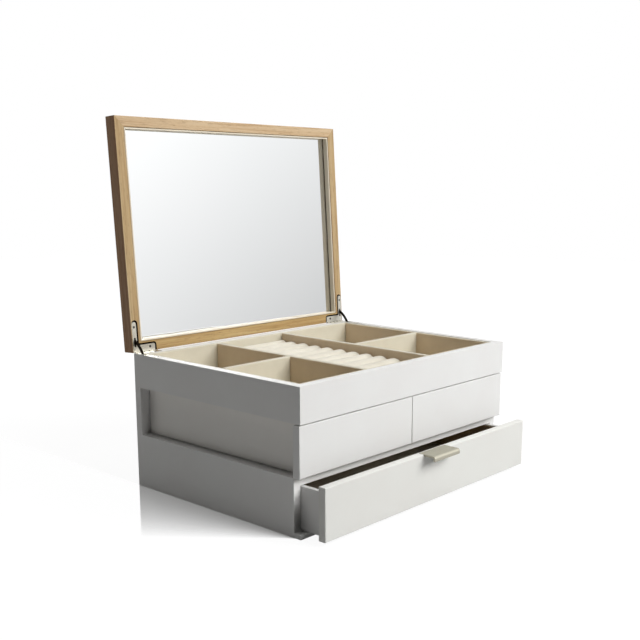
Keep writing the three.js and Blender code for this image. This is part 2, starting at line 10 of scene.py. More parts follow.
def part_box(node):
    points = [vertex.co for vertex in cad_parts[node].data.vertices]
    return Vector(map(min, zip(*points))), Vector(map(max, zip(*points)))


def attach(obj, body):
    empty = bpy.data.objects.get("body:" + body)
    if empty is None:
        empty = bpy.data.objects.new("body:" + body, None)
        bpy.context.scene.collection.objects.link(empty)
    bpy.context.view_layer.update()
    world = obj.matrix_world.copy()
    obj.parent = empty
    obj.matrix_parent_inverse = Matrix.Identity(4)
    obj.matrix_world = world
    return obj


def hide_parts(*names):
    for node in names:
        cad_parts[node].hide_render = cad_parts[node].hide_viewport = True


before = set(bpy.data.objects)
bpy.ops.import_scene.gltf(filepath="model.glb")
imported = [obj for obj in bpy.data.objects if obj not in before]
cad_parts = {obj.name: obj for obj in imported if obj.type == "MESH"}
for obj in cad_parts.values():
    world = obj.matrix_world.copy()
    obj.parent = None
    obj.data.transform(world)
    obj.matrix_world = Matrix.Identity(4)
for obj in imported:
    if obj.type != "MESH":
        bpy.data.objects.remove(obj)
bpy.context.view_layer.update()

MM = 0.001
SIDES = (("left", -1), ("right", 1))

# Camera, at the photograph's viewing angle
CAMERA_PLACE = (-0.7900, -0.7369, 0.3393)
CAMERA_FORWARD = (0.7464, 0.6355, -0.1978)
CAMERA_RIGHT = (0.6495, -0.7603, 0.0080)
LENS = 54.11
SENSOR = 36.0
SHIFT = (-0.0769, 0.0810)

# Lid frame directions, with the lid open as it stands at rest
HINGE = Vector((0.0, 0.1278, 0.14818))
OPEN_ANGLE = math.radians(93.81)
LID_TURN = Matrix.Translation(HINGE) @ Matrix.Rotation(-OPEN_ANGLE, 4, "X")
ALONG_X = (1.0, 0.0, 0.0)
ALONG_LID = (0.0, -math.cos(OPEN_ANGLE), math.sin(OPEN_ANGLE))
THROUGH_LID = (0.0, -math.sin(OPEN_ANGLE), -math.cos(OPEN_ANGLE))

# Sizes repeated from the solids
HALF_WIDTH = 171.5 * MM
RIM = 149.5 * MM
BACK = 126.5 * MM
HINGE_EDGE = 169.3 * MM
AXIS_BEHIND = 1.3 * MM
LID_INSET = 1.3 * MM
LID_UNDERSIDE = 1.82 * MM

# Where the hinge mortises lie, whose walls take a painted shade. Faces within a skin of an outer face are
# left out.
MORTISE_REACH = 10.5 * MM
MORTISE_RUN = 37 * MM
TRAY_MORTISE_DEPTH = 12 * MM
LID_MORTISE_DEPTH = 14 * MM
MORTISE_SKIN = 0.5 * MM
MORTISE_LIP = 0.3 * MM

# Colours are written in steps of 0 to 255 and turned linear by this curve
COLOUR_STEPS = 255
CURVE_FOOT = 0.04045
CURVE_SLOPE = 12.92
CURVE_LIFT = 0.055
CURVE_POWER = 2.4

# Sockets of a node that mixes colours, and of one that mixes numbers
MIX_SHARE = 0
COLOUR_ENDS = (6, 7)
COLOUR_RESULT = 2
NUMBER_ENDS = (2, 3)

QUARTER_TURN = math.pi / 2
WHITE = (1.0, 1.0, 1.0, 1.0)
MIDWAY = 0.5
SIDEWAYS_SHARES = (0.3, 0.7)


def linear(red, green, blue):
    """Linear colour with alpha from a colour of 0 to 255."""
    def channel(value):
        share = value / COLOUR_STEPS
        if share <= CURVE_FOOT:
            return share / CURVE_SLOPE
        return ((share + CURVE_LIFT) / (1 + CURVE_LIFT)) ** CURVE_POWER

    return (channel(red), channel(green), channel(blue), 1.0)


def grey(level):
    """A neutral colour with alpha."""
    return (level, level, level, 1.0)


def put(tree, kind, inputs=None, **settings):
    """A new node with its settings and inputs. An input is a value or another node's output."""
    made = tree.nodes.new(kind)
    for key, value in settings.items():
        setattr(made, key, value)
    for key, value in (inputs or {}).items():
        socket = made.inputs[key]
        if isinstance(value, bpy.types.NodeSocket):
            tree.links.new(value, socket)
        else:
            socket.default_value = value
    return made


def object_place(tree):
    return put(tree, "ShaderNodeTexCoord").outputs["Object"]


def scaled(tree, place, scale):
    """Coordinates multiplied by a scale, which is one number or one for each axis."""
    scales = scale if hasattr(scale, "__len__") else (scale, scale, scale)
    return put(tree, "ShaderNodeMapping", {"Vector": place, "Scale": scales}).outputs[0]


def noise(tree, place, scale, detail, roughness=0.5):
    inputs = {"Vector": scaled(tree, place, scale), "Scale": 1.0, "Detail": detail, "Roughness": roughness}
    return put(tree, "ShaderNodeTexNoise", inputs).outputs[0]


def ramp(tree, value, stops):
    """Colour ramp over a value. stops are (position, colour) pairs."""
    made = put(tree, "ShaderNodeValToRGB", {0: value})
    elements = made.color_ramp.elements
    while len(elements) < len(stops):
        elements.new(MIDWAY)
    for element, (position, colour) in zip(elements, stops):
        element.position = position
        element.color = colour if hasattr(colour, "__len__") else grey(colour)
    return made.outputs[0]


def two_tones(tree, pattern, dark, light, spread=0.20):
    """Colour of a pattern that goes from dark to light, spread about its middle."""
    return ramp(tree, pattern, [(MIDWAY - spread, dark), (MIDWAY + spread, light)])


def mapped(tree, value, ends, results=(0.0, 1.0), **settings):
    """A value between two ends carried over to two results, and held level beyond them."""
    inputs = {"Value": value, "From Min": ends[0], "From Max": ends[1], "To Min": results[0],
              "To Max": results[1]}
    return put(tree, "ShaderNodeMapRange", inputs, **settings).outputs[0]


def span(tree, value, results):
    """A value of 0 to 1 spread between two results."""
    return mapped(tree, value, (0.0, 1.0), results)


def calculate(tree, operation, first, second):
    return put(tree, "ShaderNodeMath", {0: first, 1: second}, operation=operation).outputs[0]


def dot(tree, place, direction):
    """How far a place lies along a direction."""
    made = put(tree, "ShaderNodeVectorMath", {0: place, 1: direction}, operation="DOT_PRODUCT")
    return made.outputs["Value"]


def along_axis(tree, place, axis):
    """The number of a place for one axis, of 0 to 2."""
    return put(tree, "ShaderNodeSeparateXYZ", {0: place}).outputs[axis]


def bump(tree, height, strength, distance):
    inputs = {"Height": height, "Strength": strength, "Distance": distance}
    return put(tree, "ShaderNodeBump", inputs).outputs[0]


def blended(tree, share, first, second, **settings):
    """Mix of two colours or outputs."""
    inputs = {MIX_SHARE: share, COLOUR_ENDS[0]: first, COLOUR_ENDS[1]: second}
    return put(tree, "ShaderNodeMix", inputs, data_type="RGBA", **settings).outputs[COLOUR_RESULT]


def between(tree, share, first, second):
    """Mix of two numbers or outputs."""
    inputs = {MIX_SHARE: share, NUMBER_ENDS[0]: first, NUMBER_ENDS[1]: second}
    return put(tree, "ShaderNodeMix", inputs, data_type="FLOAT").outputs[0]


def painted_shade_along_x(tree, colour, tone):
    """Painted shade: a colour multiplied by a tone on the faces that look along X, and left alone on the
    others.
    """
    facing = along_axis(tree, put(tree, "ShaderNodeNewGeometry").outputs["Normal"], 0)
    squared = calculate(tree, "MULTIPLY", facing, facing)
    share = mapped(tree, squared, SIDEWAYS_SHARES)
    return blended(tree, share, colour, (*tone, 1.0), blend_type="MULTIPLY")


def material(name, **constants):
    """A material with a Principled shader whose constant sockets are set here."""
    made = bpy.data.materials.new(name)
    made.use_nodes = True
    tree = made.node_tree
    tree.nodes.clear()
    shader = put(tree, "ShaderNodeBsdfPrincipled")
    output = put(tree, "ShaderNodeOutputMaterial")
    tree.links.new(shader.outputs[0], output.inputs["Surface"])
    for key, value in constants.items():
        shader.inputs[key.replace("_", " ")].default_value = value
    return made, tree, shader


def finish(tree, shader, colour, roughness, normal=None):
    """Links a shader's colour, roughness and relief."""
    tree.links.new(colour, shader.inputs["Base Color"])
    tree.links.new(roughness, shader.inputs["Roughness"])
    if normal is not None:
        tree.links.new(normal, shader.inputs["Normal"])


# Satin paint: faint clouds of two tones under the fine texture of spraying
PAINT_SPECULAR = 0.35
PAINT_CLOUDS = 16
PAINT_CLOUD_DETAIL = 4.0
PAINT_SPREAD = 0.15
PAINT_SPRAY = 700
PAINT_SPRAY_DETAIL = 2.0
PAINT_ROUGHNESS = (0.40, 0.54)
PAINT_RELIEF = (0.10, 0.05 * MM)


def satin_paint(name, light, shade):
    made, tree, shader = material(name, Specular_IOR_Level=PAINT_SPECULAR)
    place = object_place(tree)
    clouds = noise(tree, place, PAINT_CLOUDS, PAINT_CLOUD_DETAIL)
    spray = noise(tree, place, PAINT_SPRAY, PAINT_SPRAY_DETAIL)
    finish(tree, shader, two_tones(tree, clouds, shade, light, PAINT_SPREAD),
           span(tree, spray, PAINT_ROUGHNESS), bump(tree, spray, *PAINT_RELIEF))
    return made


# Oak: how often a pattern repeats along and across the grain, its detail, and its colours
OAK_SPECULAR = 0.3
OAK_BANDS = (5, 95, 3.0)
OAK_RINGS = (9, 420, 4.0)
OAK_FIBRES = (45, 1500, 3.0)
OAK_PORES = (80, 1300, 2.0)
OAK_SHARPNESS = 0.6
GROUND_COLOURS = ((0.30, (203, 170, 128)), (0.52, (215, 186, 147)), (0.72, (223, 198, 162)))
STREAK_STOPS = ((0.38, 1.0), (0.54, 0.0))
STREAK_COLOUR = (182, 143, 98)
STREAK_SHARE = 0.70
FIBRE_COLOUR = (190, 156, 116)
FIBRE_SHARE = 0.20
PORE_STOPS = ((0.33, 1.0), (0.40, 0.0))
PORE_COLOUR = (134, 98, 62)
PORE_SHARE = 0.50
OAK_ROUGHNESS = (0.48, 0.66)
OAK_RELIEF = (0.25, 0.08 * MM)
PLAIN_TONE = (1.0, 1.0, 1.0)


def oak(name, along, across, tone, side_shade=PLAIN_TONE):
    """Straight-grained oak of the lid. The grain runs along one direction and bands lie across it."""
    def wood_colour(values):
        return tuple(share * part for share, part in zip(linear(*values), (*tone, 1.0)))

    made, tree, shader = material(name, Specular_IOR_Level=OAK_SPECULAR)
    place = object_place(tree)
    directions = (along, across, THROUGH_LID)
    turned = {index: dot(tree, place, direction) for index, direction in enumerate(directions)}
    grain = put(tree, "ShaderNodeCombineXYZ", turned).outputs[0]

    def stretched(run, cross, detail):
        return noise(tree, grain, (run, cross, cross), detail, OAK_SHARPNESS)

    ground_stops = [(stop, wood_colour(values)) for stop, values in GROUND_COLOURS]
    ground = ramp(tree, stretched(*OAK_BANDS), ground_stops)
    streaks = ramp(tree, stretched(*OAK_RINGS), STREAK_STOPS)
    fibres = stretched(*OAK_FIBRES)
    pores = ramp(tree, stretched(*OAK_PORES), PORE_STOPS)
    layers = ((streaks, STREAK_SHARE, STREAK_COLOUR), (fibres, FIBRE_SHARE, FIBRE_COLOUR),
              (pores, PORE_SHARE, PORE_COLOUR))
    worked = ground
    for pattern, share, values in layers:
        worked = blended(tree, calculate(tree, "MULTIPLY", pattern, share), worked, wood_colour(values))
    relief = calculate(tree, "SUBTRACT", fibres, pores)
    # The faces that look along X take the side shade, a painted shade.
    finish(tree, shader, painted_shade_along_x(tree, worked, side_shade), span(tree, fibres, OAK_ROUGHNESS),
           bump(tree, relief, *OAK_RELIEF))
    return made


# Suede cloth: soft brushed patches, a fine nap, a painted shade that makes the faces looking along X
# browner, and a little sheen
CLOTH_SPECULAR = 0.12
CLOTH_SHEEN = 0.25
CLOTH_SHEEN_ROUGHNESS = 0.5
CLOTH_PATCHES = 38
CLOTH_PATCH_DETAIL = 4.0
CLOTH_SHARPNESS = 0.6
CLOTH_SPREAD = 0.18
CLOTH_HAIRS = 2600
CLOTH_HAIR_DETAIL = 2.0
CLOTH_HAIR_SHARES = (0.0, 0.30)
CLOTH_SIDE_SHADE = (1.08, 0.94, 0.83)
CLOTH_ROUGHNESS = (0.82, 0.97)
CLOTH_NAP = 0.30
ROLL_NAP = 0.21
CLOTH_NAP_HEIGHT = 0.15 * MM


def suede(name, shade, light, nap=CLOTH_NAP):
    made, tree, shader = material(name, Specular_IOR_Level=CLOTH_SPECULAR, Sheen_Weight=CLOTH_SHEEN,
                                  Sheen_Roughness=CLOTH_SHEEN_ROUGHNESS)
    place = object_place(tree)
    patches = noise(tree, place, CLOTH_PATCHES, CLOTH_PATCH_DETAIL, CLOTH_SHARPNESS)
    hairs = noise(tree, place, CLOTH_HAIRS, CLOTH_HAIR_DETAIL)
    brushed = two_tones(tree, patches, shade, light, CLOTH_SPREAD)
    cloth = blended(tree, span(tree, hairs, CLOTH_HAIR_SHARES), brushed, shade)
    # The faces that look along X are browned by a painted shade.
    finish(tree, shader, painted_shade_along_x(tree, cloth, CLOTH_SIDE_SHADE), span(tree, patches, CLOTH_ROUGHNESS),
           bump(tree, hairs, nap, CLOTH_NAP_HEIGHT))
    return made


# Metal with fine marks
METAL_MARKS = 900
METAL_DETAIL = 4.0
METAL_SHARPNESS = 0.6
SMOOTHER = 0.06
ROUGHER = 0.08
METAL_STRENGTH = 0.05
METAL_RELIEF = 0.03 * MM


def metal(name, shade, light, rough, stretch=METAL_MARKS, strength=METAL_STRENGTH, edge=WHITE):
    """Metal with fine marks, which stretch draws out along the axis with its smallest number. edge tints
    what the metal reflects where it is seen from the side."""
    made, tree, shader = material(name, Metallic=1.0, Specular_Tint=edge)
    marks = noise(tree, object_place(tree), stretch, METAL_DETAIL, METAL_SHARPNESS)
    finish(tree, shader, two_tones(tree, marks, (*shade, 1.0), (*light, 1.0)),
           span(tree, marks, (rough - SMOOTHER, rough + ROUGHER)), bump(tree, marks, strength, METAL_RELIEF))
    return made


# Mirror silver behind clear glass, and the glass's ground edge
SILVER_COAT = 0.3
SILVER_COAT_ROUGHNESS = 0.01
SILVER_RIPPLE = 7
SILVER_DETAIL = 1.0
SILVER_SHADE = (0.93, 0.945, 0.95, 1.0)
SILVER_LIGHT = (0.94, 0.95, 0.955, 1.0)
SILVER_ROUGHNESS = (0.0, 0.012)
EDGE_SPECULAR = 0.4
EDGE_FROST = 1200
EDGE_DETAIL = 2.0
EDGE_ROUGHNESS = (0.35, 0.60)


def mirror_silver():
    made, tree, shader = material("mirror_silver", Metallic=1.0, Coat_Weight=SILVER_COAT,
                                  Coat_Roughness=SILVER_COAT_ROUGHNESS)
    ripple = noise(tree, object_place(tree), SILVER_RIPPLE, SILVER_DETAIL)
    finish(tree, shader, two_tones(tree, ripple, SILVER_SHADE, SILVER_LIGHT),
           span(tree, ripple, SILVER_ROUGHNESS))
    return made


def ground_edge(shade, light):
    made, tree, shader = material("glass_edge", Specular_IOR_Level=EDGE_SPECULAR)
    frost = noise(tree, object_place(tree), EDGE_FROST, EDGE_DETAIL)
    finish(tree, shader, two_tones(tree, frost, shade, light), span(tree, frost, EDGE_ROUGHNESS))
    return made


# Near-black brown for the walls of the hinge mortises, a painted shade, and bare wood for the drawers' thin
# plywood bottoms
MORTISE_SPECULAR = 0.1
MORTISE_GRAIN = (300, 900, 900)
MORTISE_DETAIL = 4.0
MORTISE_ROUGHNESS = (0.80, 0.95)
MORTISE_RELIEF = (0.3, 0.1 * MM)
PLY_SPECULAR = 0.25
PLY_GRAIN = (9, 160, 500)
PLY_GRAIN_DETAIL = 5.0
PLY_SHARPNESS = 0.6
PLY_FIBRES = (60, 1400, 1400)
PLY_FIBRE_DETAIL = 2.0
PLY_FIBRE_SHARES = (0.0, 0.35)
PLY_ROUGHNESS = (0.62, 0.80)
PLY_RELIEF = (0.2, 0.08 * MM)


def painted_mortise_shade(shade, light):
    made, tree, shader = material("painted_mortise_shade", Specular_IOR_Level=MORTISE_SPECULAR)
    grain = noise(tree, object_place(tree), MORTISE_GRAIN, MORTISE_DETAIL)
    finish(tree, shader, two_tones(tree, grain, shade, light), span(tree, grain, MORTISE_ROUGHNESS),
           bump(tree, grain, *MORTISE_RELIEF))
    return made


def plywood(shade, light, fibre):
    made, tree, shader = material("plywood", Specular_IOR_Level=PLY_SPECULAR)
    place = object_place(tree)
    grain = noise(tree, place, PLY_GRAIN, PLY_GRAIN_DETAIL, PLY_SHARPNESS)
    fibres = noise(tree, place, PLY_FIBRES, PLY_FIBRE_DETAIL)
    wood = two_tones(tree, grain, shade, light)
    finish(tree, shader, blended(tree, span(tree, fibres, PLY_FIBRE_SHARES), wood, fibre),
           span(tree, fibres, PLY_ROUGHNESS), bump(tree, fibres, *PLY_RELIEF))
    return made


# Finishes
PAINT = satin_paint("white_paint", light=linear(233, 233, 231), shade=linear(231, 230, 228))
# The case's white a shade lighter for the inset panels, a painted light.
INSET_PAINTED_LIGHT = satin_paint("inset_painted_light", light=linear(239, 237, 232), shade=linear(237, 234, 229))
# The case's white a little darker and warmer for the bottom drawer's front, a painted shade towards the
# floor.
BOTTOM_FRONT_SHADED = satin_paint("bottom_front_painted_shade", light=linear(229, 229, 224), shade=linear(227, 226, 221))
CREAM = satin_paint("cream_paint", light=linear(232, 222, 202), shade=linear(225, 214, 192))
# Oak of the lid's members: the back rail, lowest on the open lid, is toned darker and yellower as a painted
# shade of the light falling off towards the hinge; the left stile is toned a little lighter than the right.
# The stiles' side shades are painted shade.
OAK_RAIL = oak("oak_rail", ALONG_X, ALONG_LID, tone=(0.93, 0.95, 0.97))
OAK_BACK_RAIL_SHADED = oak("oak_back_rail_painted_shade", ALONG_X, ALONG_LID, tone=(0.77, 0.75, 0.56))
OAK_STILE = oak("oak_stile", ALONG_LID, ALONG_X, tone=(0.75, 0.74, 0.65), side_shade=(0.64, 0.51, 0.49))
OAK_LEFT_STILE = oak("oak_left_stile", ALONG_LID, ALONG_X, tone=(0.795, 0.81, 0.735),
                     side_shade=(0.605, 0.465, 0.43))
LINING = suede("suede_lining", shade=linear(209, 202, 183), light=linear(217, 211, 193))
# The drawers' linings: the tray's cloth made much darker, a painted shade of the drawers' insides.
DRAWER_LINING_SHADED = suede("drawer_lining_painted_shade", shade=linear(155, 141, 117), light=linear(163, 149, 124))
ROLL_CLOTH = suede("ring_roll_cloth", shade=linear(216, 210, 195), light=linear(228, 223, 209), nap=ROLL_NAP)
MIRROR = mirror_silver()
GLASS_EDGE = ground_edge(shade=linear(70, 56, 36), light=linear(98, 82, 56))
# The mortise walls' near-black brown is a painted shade.
MORTISE_PAINTED_SHADE = painted_mortise_shade(shade=linear(22, 12, 6), light=linear(40, 25, 14))
NICKEL = metal("nickel", shade=(0.50, 0.48, 0.42), light=(0.66, 0.64, 0.57), rough=0.30)
# Screw heads: near-black, much darker than the leaves.
SCREW_STEEL = metal("screw_steel", shade=(0.05, 0.045, 0.04), light=(0.11, 0.10, 0.09), rough=0.34)
CHAMPAGNE = metal("champagne_nickel", shade=(0.325, 0.31, 0.255), light=(0.38, 0.365, 0.30), rough=0.60,
                  stretch=(90, 2200, 2200), strength=0.12)
# Near-black steel: the stays' own finish, and a painted shade on the pins and the knuckles' ends.
DARK_STEEL_AND_SHADE = metal("dark_steel", shade=(0.006, 0.005, 0.004), light=(0.016, 0.012, 0.009), rough=0.42,
                   edge=(0.35, 0.33, 0.30, 1.0))
PLYWOOD = plywood(shade=linear(165, 138, 102), light=linear(196, 172, 136), fibre=linear(150, 122, 88))

# Rounded edges: their widths, the shortest edges that are rounded, and how steep they are in degrees
CASE_EASE = 0.6 * MM
BOARD_EASE = 0.5 * MM
LID_PANEL_EASE = 0.4 * MM
SLIP_EASE = 0.3 * MM
DRAWER_LINING_EASE = 0.6 * MM
CLOTH_EASE = 1.3 * MM
CLOTH_SEGMENTS = 4
LEAF_EASE = 0.15 * MM
PIN_EASE = 0.1 * MM
STAY_EASE = 0.15 * MM
TAB_EASE = 0.3 * MM
LONG_EDGE = 20 * MM
LEAF_EDGE = 3 * MM
PIN_EDGE = 0.1 * MM
STAY_EDGE = 1.5 * MM
TAB_EDGE = 1.8 * MM
STEEP = 50.0
STEEPER = 60.0
STEEPEST = 70.0

# Working limits of the meshes
WELD = 0.0005 * MM
FLAT = math.radians(0.5)
ROUND = 0.5
CREASE = 40.0
SOFT_CREASE = 60.0


def welded(node):
    """A CAD node's mesh with its corners welded, as a bmesh."""
    shape = bmesh.new()
    shape.from_mesh(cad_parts[node].data)
    bmesh.ops.remove_doubles(shape, verts=shape.verts, dist=WELD)
    return shape


def combined(shapes, operation):
    """The first bmesh united with the others, or with the others cut away, as a bmesh."""
    made = []
    for index, shape in enumerate(shapes):
        mesh = bpy.data.meshes.new("operand_%d" % index)
        shape.to_mesh(mesh)
        shape.free()
        operand = bpy.data.objects.new("operand_%d" % index, mesh)
        bpy.context.scene.collection.objects.link(operand)
        made.append(operand)
    base = made[0]
    for other in made[1:]:
        step = base.modifiers.new("step", "BOOLEAN")
        step.operation = operation
        step.solver = "MANIFOLD"
        step.object = other
    bpy.context.view_layer.update()
    whole = bpy.data.meshes.new_from_object(base.evaluated_get(bpy.context.evaluated_depsgraph_get()))
    shape = bmesh.new()
    shape.from_mesh(whole)
    for operand in made:
        bpy.data.objects.remove(operand)
    return shape


def neighbours(loop):
    """Each item of a closed loop with the one after it."""
    return list(zip(loop, loop[1:] + loop[:1]))


def block(low, high):
    """A box between two corners, as a bmesh."""
    low, high = Vector(low), Vector(high)
    shape = bmesh.new()
    size = Matrix.Diagonal((*(high - low), 1.0))
    bmesh.ops.create_cube(shape, size=1.0, matrix=Matrix.Translation((low + high) / 2) @ size)
    return shape


def eased(shape, width, shortest, steepest=STEEP, segments=3):
    """Rounds the outer edges that are longer than shortest and steeper than steepest degrees."""
    bmesh.ops.dissolve_limit(shape, angle_limit=FLAT, verts=shape.verts, edges=shape.edges)
    edges = []
    for edge in shape.edges:
        if len(edge.link_faces) != 2 or not edge.is_convex:
            continue
        if edge.calc_length() > shortest and edge.calc_face_angle() > math.radians(steepest):
            edges.append(edge)
    bmesh.ops.bevel(shape, geom=edges, offset=width, offset_type="OFFSET", segments=segments, profile=ROUND,
                    affect="EDGES", clamp_overlap=True)
    return shape


def piece(name, shape, body, look, nodes=(), smooth=CREASE):
    """An object from a bmesh that rides on a body, has a finish and stands for CAD nodes."""
    mesh = bpy.data.meshes.new(name)
    shape.to_mesh(mesh)
    shape.free()
    mesh.materials.append(look)
    mesh.shade_smooth()
    mesh.set_sharp_from_angle(angle=math.radians(smooth))
    made = bpy.data.objects.new(name, mesh)
    bpy.context.scene.collection.objects.link(made)
    weights = made.modifiers.new("weights", "WEIGHTED_NORMAL")
    weights.keep_sharp = True
    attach(made, body)
    if nodes:
        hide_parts(*nodes)
    return made


def eased_piece(node, body, look, width, shortest, steepest=STEEP, segments=3):
    """A CAD node with its long outer edges rounded."""
    shape = eased(welded(node), width, shortest, steepest, segments)
    return piece(node + "_eased", shape, body, look, [node])


def refinished(made, look, inside):
    """Gives another finish to the faces whose middle lies inside a region."""
    made.data.materials.append(look)
    index = len(made.data.materials) - 1
    for face in made.data.polygons:
        if inside(face.center, face.normal):
            face.material_index = index


def around_leaf(spot, half_width, back):
    """Within the L of a hinge leaf's mortise, in a board with a half width and a back edge."""
    across = abs(spot.x)
    beside = across > HINGE_EDGE - MORTISE_REACH and spot.y > back - MORTISE_RUN
    behind = across > HINGE_EDGE - MORTISE_RUN and spot.y > back - MORTISE_REACH
    return (beside or behind) and across < half_width - MORTISE_SKIN and spot.y < back - MORTISE_SKIN


def in_tray_mortise(centre, normal):
    """Inside a tray mortise: around a leaf and below the rim, on a face that isn't an outer one."""
    deep = RIM - TRAY_MORTISE_DEPTH < centre.z < RIM - MORTISE_LIP
    return deep and around_leaf(centre, HALF_WIDTH, BACK)


def in_lid_mortise(centre, normal):
    """The same for the lid, in the closed lid's own frame."""
    spot = LID_TURN.inverted() @ centre
    deep = MORTISE_LIP < spot.z - LID_UNDERSIDE < LID_MORTISE_DEPTH
    return deep and around_leaf(spot, HALF_WIDTH - LID_INSET, -AXIS_BEHIND)


# Painted case: the boards and the tray's walls are filled and sprayed as one shell
CARCASS = ["base_plate", "back_panel", "deck", "lower_side_left", "lower_side_right", "middle_side_left",
           "middle_side_right", "centre_divider", "tray_floor", "tray_front", "tray_back", "tray_left",
           "tray_right"]
carcass = combined([welded(node) for node in CARCASS], "UNION")

# A narrow shadow groove in each inset panel, along its foot and its back end
GROOVE_WIDTH = 1.0 * MM
GROOVE_DEPTH = 3.0 * MM
deck_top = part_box("deck")[1].z
tray_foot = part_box("tray_floor")[0].z
grooves = []
for side, sign in SIDES:
    panel_low, panel_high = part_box("middle_side_" + side)
    outer = panel_low.x if sign < 0 else panel_high.x
    near, far = sorted((outer, outer - sign * GROOVE_DEPTH))
    foot_end = (far, panel_high.y, deck_top + GROOVE_WIDTH)
    grooves.append(block((near, panel_low.y, deck_top), foot_end))
    back_start = (near, panel_high.y - GROOVE_WIDTH, deck_top)
    grooves.append(block(back_start, (far, panel_high.y, tray_foot)))
carcass = eased(combined([carcass, *grooves], "DIFFERENCE"), CASE_EASE, LONG_EDGE)
shell = piece("painted_case", carcass, "case", PAINT, CARCASS)
# The tray's mortise walls take the painted shade.
refinished(shell, MORTISE_PAINTED_SHADE, in_tray_mortise)

# The inset panels are coloured a shade lighter than the case's paint, a painted light in the recesses
PANEL_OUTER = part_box("middle_side_right")[1].x
PANEL_NEARNESS = 0.3 * MM
FACING_SIDEWAYS = 0.9


def on_inset_panel(centre, normal):
    """On the outer face of an inset panel of the middle tier."""
    level = abs(abs(centre.x) - PANEL_OUTER) < PANEL_NEARNESS and abs(normal.x) > FACING_SIDEWAYS
    return level and deck_top < centre.z < tray_foot


refinished(shell, INSET_PAINTED_LIGHT, on_inset_panel)

# Drawers
for prefix, body in (("left_drawer", "drawer_left"), ("right_drawer", "drawer_right"),
                     ("bottom_drawer", "drawer_bottom")):
    for part in ("front", "side_left", "side_right", "back"):
        # The bottom drawer's front takes the painted shade.
        paint = BOTTOM_FRONT_SHADED if (prefix, part) == ("bottom_drawer", "front") else PAINT
        eased_piece(prefix + "_" + part, body, paint, BOARD_EASE, LONG_EDGE, STEEPEST)
    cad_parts[prefix + "_bottom"].data.materials[0] = PLYWOOD
    # The lining's darker cloth is a painted shade.
    eased_piece(prefix + "_lining", body, DRAWER_LINING_SHADED, DRAWER_LINING_EASE, LONG_EDGE)

# Lined boards of the tray, with the cloth turned over their top edges
for node in ("liner_front", "liner_back", "liner_left", "liner_right", "partition_left", "partition_right",
             "cross_partition_left", "cross_partition_right"):
    eased_piece(node, "case", LINING, CLOTH_EASE, LONG_EDGE, segments=CLOTH_SEGMENTS)

# Floor pads: small gaps at the sides, a crown that rises steeply from the edge and then levels out
PAD_GAP = 0.3 * MM
PAD_EDGE_DROP = 0.5 * MM
PAD_CROWN = 0.6 * MM
PAD_PULL = 0.3 * MM
PAD_STEPS = 24
CROWN_LEVEL_POWER = 6
CROWN_RISE_POWER = 0.5


def crowned(shape, low, high, base, edge, crest):
    """Adds a closed pad to a bmesh: flat below, crowned above, its sides pulled in between the corners."""
    middle = (high + low) / 2
    half = (high - low) / 2

    def place(column, row):
        u = 2 * column / PAD_STEPS - 1
        v = 2 * row / PAD_STEPS - 1
        inward = Vector((PAD_PULL * (1 - v * v) * u, PAD_PULL * (1 - u * u) * v))
        spot = middle + Vector((half.x * u, half.y * v)) - inward
        rise = (1 - abs(u) ** CROWN_LEVEL_POWER) * (1 - abs(v) ** CROWN_LEVEL_POWER)
        return Vector((spot.x, spot.y, edge + (crest - edge) * rise ** CROWN_RISE_POWER))

    places = range(PAD_STEPS + 1)
    top = [[shape.verts.new(place(column, row)) for column in places] for row in places]
    for near, far in zip(top, top[1:]):
        for column in range(PAD_STEPS):
            shape.faces.new((near[column], near[column + 1], far[column + 1], far[column]))
    front_row = top[0][:-1]
    right_row = [line[-1] for line in top[:-1]]
    back_row = top[-1][:0:-1]
    left_row = [line[0] for line in top[:0:-1]]
    rim = front_row + right_row + back_row + left_row
    foot = [shape.verts.new((corner.co.x, corner.co.y, base)) for corner in rim]
    for (corner, after), (below, below_after) in zip(neighbours(rim), neighbours(foot)):
        shape.faces.new((corner, below, below_after, after))
    shape.faces.new(foot[::-1])


pad_low, pad_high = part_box("tray_floor_lining")
left_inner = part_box("liner_left")[1].x
right_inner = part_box("liner_right")[0].x
front_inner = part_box("liner_front")[1].y
back_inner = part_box("liner_back")[0].y
cross_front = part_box("cross_partition_left")[0].y
cross_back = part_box("cross_partition_left")[1].y
columns = ((left_inner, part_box("partition_left")[0].x), (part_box("partition_right")[1].x, right_inner))
rows = ((front_inner, cross_front), (cross_back, back_inner))
pad_gap = Vector((PAD_GAP, PAD_GAP))
pads = bmesh.new()
for low_x, high_x in columns:
    for low_y, high_y in rows:
        crowned(pads, Vector((low_x, low_y)) + pad_gap, Vector((high_x, high_y)) - pad_gap, pad_low.z,
                pad_high.z - PAD_EDGE_DROP, pad_high.z + PAD_CROWN)
floor_pads = piece("tray_floor_pads", pads, "case", LINING, ["tray_floor_lining"])

# Ring rolls: foam rolls in cloth, side by side, with rounded ends that are drawn in and sink a little
ROLL_PITCH = 20.3 * MM
ROLL_SLIT = 1.0 * MM
ROLL_SHOULDER = 7.0 * MM
ROLL_STEPS = 20
END_ROUND = 3.0 * MM
END_STEPS = 8
END_DRAW_SHARE = 0.22
END_SINK_SHARE = 0.55
CREST_CHANGE = 0.15 * MM
CREST_PHASE = 2.3


